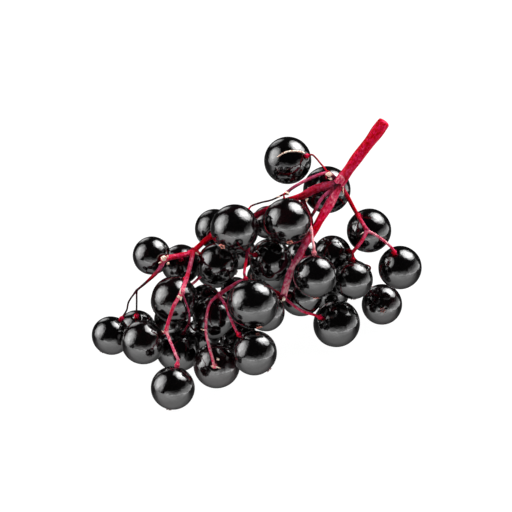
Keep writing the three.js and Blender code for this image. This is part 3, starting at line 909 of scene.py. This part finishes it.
def add_stem(tubes, route, radii, tones, rng, swelling, end):
    """A stem or a branch: ridged, a little uneven and wider at its ends."""
    points, along = centreline([placed(p) for p in route])
    left = along[-1] - along
    share = along / along[-1]
    swell = swelling[0] * mound(along, 2.2 * radii[0])
    swell += swelling[1] * mound(left, 2.5 * radii[-1])
    line = np.column_stack([along, 0 * along, 0 * along])
    uneven = 0.05 * unevenness(line, waves(5, 0.8, 3.0, rng))
    wander = np.column_stack([unevenness(line, waves(4, 0.4, 1.3, rng)) for _ in range(3)])
    fade = eased(along, 0, STEM_STEADY) * eased(left, 0, STEM_STEADY)
    points = points + STEM_WANDER * fade[:, None] * wander
    phase = rng.uniform(0, 6)
    radius = STEM_SLIMNESS * even_steps(radii, share) * (1 + swell + uneven)
    tubes.add(points, radius, even_steps(tones, share), STEM_RIDGES, phase=phase, end=end)


def add_knob(tubes, place, radius, tone, rng):
    """A swollen node."""
    axis = unit(np.array([0.25, 0.1, 1.0]) + 0.4 * rng.normal(size=3))
    points, radii = knob_rings(place, radius, axis, 0.75, 0.04, rng, KNOB_SLIMNESS)
    tubes.add(points, radii, [tone] * KNOB_RINGS, 0.03, phase=rng.uniform(0, 6))


def add_pedicel(tubes, berry, route, tones, cup_tone, rng):
    """A thin stalk that swells into the cup on its berry, with a bead and a thin lip."""
    middle, radius = BALLS[berry]
    last = placed(route[-1])
    outward = unit(last - middle)
    mouth = middle + (radius - SINK) * outward
    neck = middle + (radius + CUP_LENGTH) * outward
    has_room = np.linalg.norm(last - middle) > radius + CUP_LENGTH + NECK_ROOM
    ends = [neck] if has_room else []
    points, along = centreline([placed(p) for p in route] + ends + [mouth])
    left = along[-1] - along
    fine = THIN_RADIUS if tones[-1] in (BLACKENED, MAROON) else PEDICEL_RADIUS
    thin = fine * (1 + 0.35 * mound(along, 0.6))
    flare = (CUP_RADIUS - fine) * (1 - eased(left, 0.25, CUP_LENGTH))
    lip = -0.1 * mound(left - 0.08, 0.12)
    bead = 0.05 * mound(left - 0.38, 0.16)
    cup = 1 - eased(left, 0.3, 1.3)
    tone = even_steps(tones, along / along[-1])
    tone += (np.array(cup_tone) - tone) * cup[:, None]
    tubes.add(points, thin + flare + lip + bead, tone, 0.05, phase=rng.uniform(0, 6))


def remeshed(points, faces):
    """The union of closed shapes as one smooth skin, as (points, faces)."""
    rough = mesh_object("rough_stalk", points, faces)
    remesh = rough.modifiers.new("union", "REMESH")
    remesh.mode = "VOXEL"
    remesh.voxel_size = VOXEL
    remesh.adaptivity = 0.0
    smooth = rough.modifiers.new("smooth", "SMOOTH")
    smooth.factor, smooth.iterations = SMOOTHING
    mesh = rough.evaluated_get(bpy.context.evaluated_depsgraph_get()).to_mesh()
    skin = read(mesh.vertices, "co", 3).reshape(-1, 3)
    corners = read(mesh.loops, "vertex_index", kind=np.int32)
    starts = read(mesh.polygons, "loop_start", kind=np.int32)
    rough_mesh = rough.data
    bpy.data.objects.remove(rough)
    bpy.data.meshes.remove(rough_mesh)
    return skin, np.split(corners, starts[1:])


def stalk_attributes(points, lines):
    """(grain, tone, bloom) at each point, from the centreline that it belongs to. The tone also carries
    painted light: lighter on the side towards the key light, darker on the far side.
    """
    tree = kdtree.KDTree(len(lines["at"]))
    for i, place in enumerate(lines["at"]):
        tree.insert(Vector(place), i)
    tree.balance()
    radius = lines["radius"]
    owner = np.empty(len(points), int)
    for i, point in enumerate(points):
        nearest = tree.find_n(Vector(point), 4)
        owner[i] = min(nearest, key=lambda hit: hit[2] - radius[hit[1]])[1]
    at, along, side_a, side_b, tones = (
        np.array(lines[key])[owner] for key in ("at", "along", "side_a", "side_b", "tone")
    )
    offset = points - at
    grain = np.column_stack([along, (offset * side_a).sum(axis=1), (offset * side_b).sum(axis=1)])
    # Painted light: how far each point faces the lit side, which lightens or darkens its tone.
    painted_light_facing = offset @ unit(PAINTED_LIGHT_SIDE) / np.linalg.norm(offset, axis=1)
    tone, bloom = tones.T
    return grain, tone + PAINTED_LIGHT_TONE * painted_light_facing, bloom


def make_stalk_part(name):
    """The main stem or a ray, with its knobs, pedicels and cups, in place of the CAD's."""
    rng = np.random.default_rng([ord(c) for c in name])
    is_ray = name != "main_stem"
    swelling, end = (STEM_SWELLING, ROUND_END) if is_ray else (MAIN_SWELLING, BLUNT_END)
    tubes = Tubes()
    for route, radii, tones in STEMS[name]:
        add_stem(tubes, route, radii, tones, rng, swelling, end)
    for place, radius, tone in KNOBS[name]:
        add_knob(tubes, place, radius, tone, rng)
    side = name.split("_")[0] + "_"
    for berry, (route, tones, *cup_tone) in PEDICELS.items():
        if berry.startswith(side):
            add_pedicel(tubes, berry, route, tones, (*cup_tone, tones[-1])[0], rng)
    points, faces = remeshed(tubes.points, tubes.faces)
    grain, tone, bloom = stalk_attributes(points, tubes.lines)
    if is_ray:
        # Painted shade: the rays are darkened where they leave the head and crowd together.
        from_head = np.linalg.norm(points - placed(HEAD), axis=1)
        tone -= HEAD_PAINTED_SHADE * mound(from_head, HEAD_REACH)
    piece = make_piece(name + "_bark", points, faces, [BARK], "stalk", [name])
    add_attributes(piece, grain=grain, tone=tone, bloom=bloom)


for part in STEMS:
    make_stalk_part(part)

# ---- Dry cream bracts and withered buds at the nodes, and a loose fibre over one berry.

# (where it grows, which way it points, length, width), in millimetres on the routes' scale.
BRACTS = [
    ((11.6, 25.7, 24.9), (-1.0, -0.3, 0.5), 0.8, 0.3),
    ((13.3, 25.2, 24.0), (-0.15, -0.3, -1.0), 1.3, 0.2),
    ((3.7, 23.4, 23.2), (-1.0, -0.2, -0.2), 0.7, 0.22),
    ((-14.2, 15.3, 16.2), (-0.9, -0.5, 0.2), 0.6, 0.5),
    ((-13.3, 15.6, 16.8), (0.3, -0.3, 1.0), 0.7, 0.3),
    ((-11.25, 8.3, 14.5), (-0.12, 0.1, 1.0), 1.0, 0.35),
    ((-11.2, 8.2, 14.3), (0.1, -0.3, -0.9), 0.7, 0.4),
    ((-7.6, 7.5, 8.8), (-0.8, -0.1, 0.55), 0.8, 0.3),
    ((4.0, 14.5, 10.2), (0.2, -0.9, 0.4), 0.7, 0.55),
    ((-9.2, 18.9, 15.9), (0.9, -0.5, -0.2), 0.8, 0.3),
    ((-1.2, 17.0, 16.7), (0.5, -0.8, -0.1), 0.7, 0.35),
    ((16.5, 22.2, 17.7), (-1.0, -0.4, -0.2), 0.8, 0.3),
    ((-5.2, 11.4, 12.5), (0.9, -0.4, -0.5), 0.7, 0.25),
    ((-6.0, 2.6, 5.4), (0.95, -0.4, -0.3), 0.8, 0.3),
    ((-6.3, 2.6, 5.5), (-0.8, -0.5, 0.2), 0.45, 0.3),
    ((-13.7, 6.7, 8.9), (-0.7, -0.4, 0.6), 0.6, 0.4),
    ((6.9, 29.2, 8.9), (-0.5, 0.7, 0.5), 0.7, 0.4),
    ((-5.5, 27.7, 11.2), (-0.4, 0.8, 0.5), 0.7, 0.4),
    ((7.6, 28.8, 19.5), (0.5, 0.8, 0.3), 0.8, 0.35),
]
BRACT_SEED = 41
BRACT_RINGS, BRACT_SIDES = 12, 14
BRACT_BEND = 0.22  # how far a bract's tip bends up, as a share of its length

# (place, radius), in millimetres on the routes' scale.
BUDS = [
    ((11.1, 26.4, 25.4), 0.38),
    ((4.7, 23.8, 23.5), 0.3),
    ((-13.85, 15.3, 16.85), 0.41),
    ((-13.2, 15.0, 16.1), 0.2),
    ((-5.65, 3.7, 6.05), 0.2),
    ((-11.5, 7.6, 14.5), 0.2),
    ((4.2, 14.4, 10.4), 0.28),
]

# Directions from the middle of one berry along which the fibre lies on its skin.
FIBRE_BERRY = "upper_berry_1"
FIBRE = [(0.66, -0.47, 0.58), (0.30, -0.61, 0.73), (-0.07, -0.69, 0.72), (-0.45, -0.74, 0.51)]
FIBRE_RADIUS = 0.14
FIBRE_LIFT = 0.05


def bract(place, towards, length, width, rng):
    """A small pointed scale: a bent closed blade that is widest near its foot."""
    foot = placed(place)
    axis = unit(towards)
    side, rise = frame_around(axis)
    turn = rng.uniform(0, 2 * math.pi)
    across = math.cos(turn) * side + math.sin(turn) * rise
    up = np.cross(axis, across)
    points = []
    for t in np.linspace(0.02, 0.98, BRACT_RINGS):
        half = 0.5 * width * math.sin(math.pi * t**0.7) ** 0.8
        thick = 0.34 * half + 0.015
        centre = foot + length * t * axis + BRACT_BEND * length * t * t * up
        for a in full_turn(BRACT_SIDES):
            crease = 0.3 * half * math.cos(a) ** 2
            wobble = 1 + 0.12 * math.sin(3 * a + 5 * t) + 0.05 * rng.normal()
            sideways = wobble * half * math.cos(a) * across
            points.append(centre + sideways + (thick * math.sin(a) + crease) * up)
    points += [foot, foot + length * axis + BRACT_BEND * length * up]
    return points, grid_faces(BRACT_RINGS, BRACT_SIDES)


def bud(place, radius, rng):
    """A small shrivelled ball."""
    points, radii = knob_rings(place, radius, unit(rng.normal(size=3)), 0.9, 0.08, rng)
    tubes = Tubes()
    tubes.add(points, radii, ridges=0.12)
    return tubes.points, tubes.faces


def fibre():
    """A thin flat strand that lies on the skin from the cup to the far side."""
    middle, radius = BALLS[FIBRE_BERRY]
    points, along = centreline([middle + radius * unit(d) for d in FIBRE])
    outward = (points - middle) / np.linalg.norm(points - middle, axis=1)[:, None]
    radii = FIBRE_RADIUS * (1 - 0.5 * (along / along[-1]) ** 2)
    tubes = Tubes()
    tubes.add(middle + (radius + FIBRE_LIFT) * outward, radii, ridges=0.2, sides=12)
    return tubes.points, tubes.faces


def make_bracts():
    """The bracts, the buds and the fibre as one piece."""
    rng = np.random.default_rng(BRACT_SEED)
    buds = [bud(*one, rng) for one in BUDS]
    bracts = [bract(*one, rng) for one in BRACTS]
    make_piece("dry_bracts", *joined([fibre(), *buds, *bracts]), [SCALE], "stalk")


make_bracts()

# ---- The stage, the lights and the camera, in metres.

MIDDLE = Vector(np.mean(cad_bounds, axis=0))

FLOOR_HALF_SIZE = 1.6
FLOOR_DROP = 0.00002      # below the lowest berries, so that no face lies in another
WALL_RADIUS = 1.55
WALL_HEIGHTS = (-0.5, 3.0)
WALL_SIDES = 96

LIGHT_PATCHES = 4.0       # across a light
LIGHT_DISTANCE = 0.6      # of the soft lights from the cluster's middle
APRON_FADE = [(0, 1), (0.35, 0.8), (0.7, 0.25), (1, 0)]
BOUNCE_FADE = [(0, 0.01), (0.44, 0.02), (0.49, 0.12), (0.54, 0.45), (0.62, 0.85), (0.7, 1)]
STUDIO_DIMNESS = 0.012

CAMERA_ELEVATION = math.radians(28)
CAMERA_DISTANCE = 0.432
CAMERA_TARGET = (0.0, 19.35, 15.08)  # on the routes' scale, in millimetres
CAMERA_LENS = 200                    # mm, on a sensor 36 mm wide
CAMERA_SENSOR = 36


def make_stage_piece(name, points, faces, glow):
    """A near-white piece that shines by itself. The berries don't mirror it, and it doesn't
    stand in the lights' way."""
    piece = mesh_object(name, points, faces)
    material, n = new_material("pale_" + name)
    n.finish({
        "Base Color": (0.06, 0.06, 0.06, 1), "Roughness": 0.9, "Specular IOR Level": 0.0,
        "Emission Color": (1, 1, 1, 1), "Emission Strength": glow,
    })
    piece.data.materials.append(material)
    piece.visible_glossy = False
    piece.visible_shadow = False
    return piece


def make_floor():
    size = FLOOR_HALF_SIZE
    corners = [(-size, -size), (size, -size), (size, size), (-size, size)]
    make_stage_piece("floor", [(x, y, -FLOOR_DROP) for x, y in corners], [(0, 1, 2, 3)], 0.99)


def make_backdrop():
    """A wall all around, far enough away to fill the view behind the floor's edge."""
    sides = WALL_SIDES
    points = [
        (WALL_RADIUS * math.cos(turn), WALL_RADIUS * math.sin(turn), z)
        for z in WALL_HEIGHTS
        for turn in full_turn(sides)
    ]
    faces = [(i, (i + 1) % sides, sides + (i + 1) % sides, sides + i) for i in range(sides)]
    wall = make_stage_piece("backdrop", points, faces, 0.95)
    wall.visible_diffuse = False


def sheet_light(name, size, radiance, place, rotation, strength_of):
    """A rectangular light whose strength across its face is a node socket."""
    light = bpy.data.lights.new(name, "AREA")
    light.shape = "RECTANGLE"
    light.size, light.size_y = size
    light.energy = radiance * math.pi * size[0] * size[1]
    light.use_nodes = True
    n = Nodes(light.node_tree)
    across = n.add("ShaderNodeNewGeometry").outputs["Parametric"]
    unevenly = n.spread(n.noise(across, LIGHT_PATCHES, 2.0), 0.7, 1.15)
    strength = n.times(strength_of(n, across), unevenly)
    glow = n.add("ShaderNodeEmission", {"Strength": strength})
    n.add("ShaderNodeOutputLight", {"Surface": glow.outputs[0]})
    lamp = bpy.data.objects.new(name, light)
    bpy.context.scene.collection.objects.link(lamp)
    lamp.location = place
    lamp.rotation_euler = rotation


def softbox(name, direction, size, radiance, edge):
    """A light that shines at the cluster and fades over a share of its size at the edge."""

    def strength_of(n, across):
        inputs = {0: across, 1: (0.5, 0.5, 0.0)}
        centred = n.add("ShaderNodeVectorMath", inputs, operation="SUBTRACT").outputs[0]
        flat = n.scaled(centred, (1, 1, 0))
        reach = n.add("ShaderNodeVectorMath", {0: flat}, operation="LENGTH").outputs["Value"]
        return n.mapped(reach, 0.5 - edge, 0.5, 1.0, 0.0)

    towards = Vector(unit(direction))
    turn = towards.to_track_quat("Z", "Y").to_euler()
    sheet_light(name, size, radiance, MIDDLE + LIGHT_DISTANCE * towards, turn, strength_of)


def fading_sheet(name, place, rotation, size, radiance, stops):
    """A sheet of light whose strength follows stops along its Y."""

    def strength_of(n, across):
        share = n.add("ShaderNodeSeparateXYZ", {0: across}).outputs["Y"]
        return n.ramp(share, [(at, (level,) * 3) for at, level in stops])

    sheet_light(name, size, radiance, place, rotation, strength_of)


def apron(name, place, size, radiance):
    """A low upright sheet that faces the cluster, and is dark at its top."""
    turn = Vector((place[0], place[1], 0)).to_track_quat("Z", "Y").to_euler()
    fading_sheet(name, place, turn, size, radiance, APRON_FADE)


def make_lights():
    """The lights with their sizes and their radiances."""
    softbox("key", (0.53, 0.37, 0.76), (0.69, 0.74), 15.5, edge=0.42)
    softbox("left", (-0.92, -0.02, 0.36), (0.88, 0.98), 6.0, edge=0.36)
    softbox("behind", (-0.36, 0.86, 0.30), (0.30, 0.46), 1.6, edge=0.3)
    apron("front_apron", (0.0, -0.8, 0.0), (1.5, 0.42), 2.0)
    apron("right_apron", (0.8, -0.1, 0.07), (1.3, 0.56), 2.5)
    fading_sheet("bounce", (0, 0, -0.15), (math.pi, 0, 0), (1.6, 1.6), 2.3, BOUNCE_FADE)


def make_world():
    world = bpy.data.worlds.new("studio")
    world.use_nodes = True
    background = world.node_tree.nodes["Background"]
    background.inputs["Color"].default_value = (*[STUDIO_DIMNESS] * 3, 1)
    bpy.context.scene.world = world


def make_camera():
    camera = bpy.data.cameras.new("camera")
    camera.lens = CAMERA_LENS
    camera.sensor_width = CAMERA_SENSOR
    camera.clip_start = 0.01
    holder = bpy.data.objects.new("camera", camera)
    bpy.context.scene.collection.objects.link(holder)
    back = Vector((0, -math.cos(CAMERA_ELEVATION), math.sin(CAMERA_ELEVATION)))
    holder.location = Vector(MM * placed(CAMERA_TARGET)) + CAMERA_DISTANCE * back
    holder.rotation_euler = back.to_track_quat("Z", "Y").to_euler()
    bpy.context.scene.camera = holder


make_floor()
make_backdrop()
make_lights()
make_world()
make_camera()
bpy.context.scene.view_settings.view_transform = "Standard"
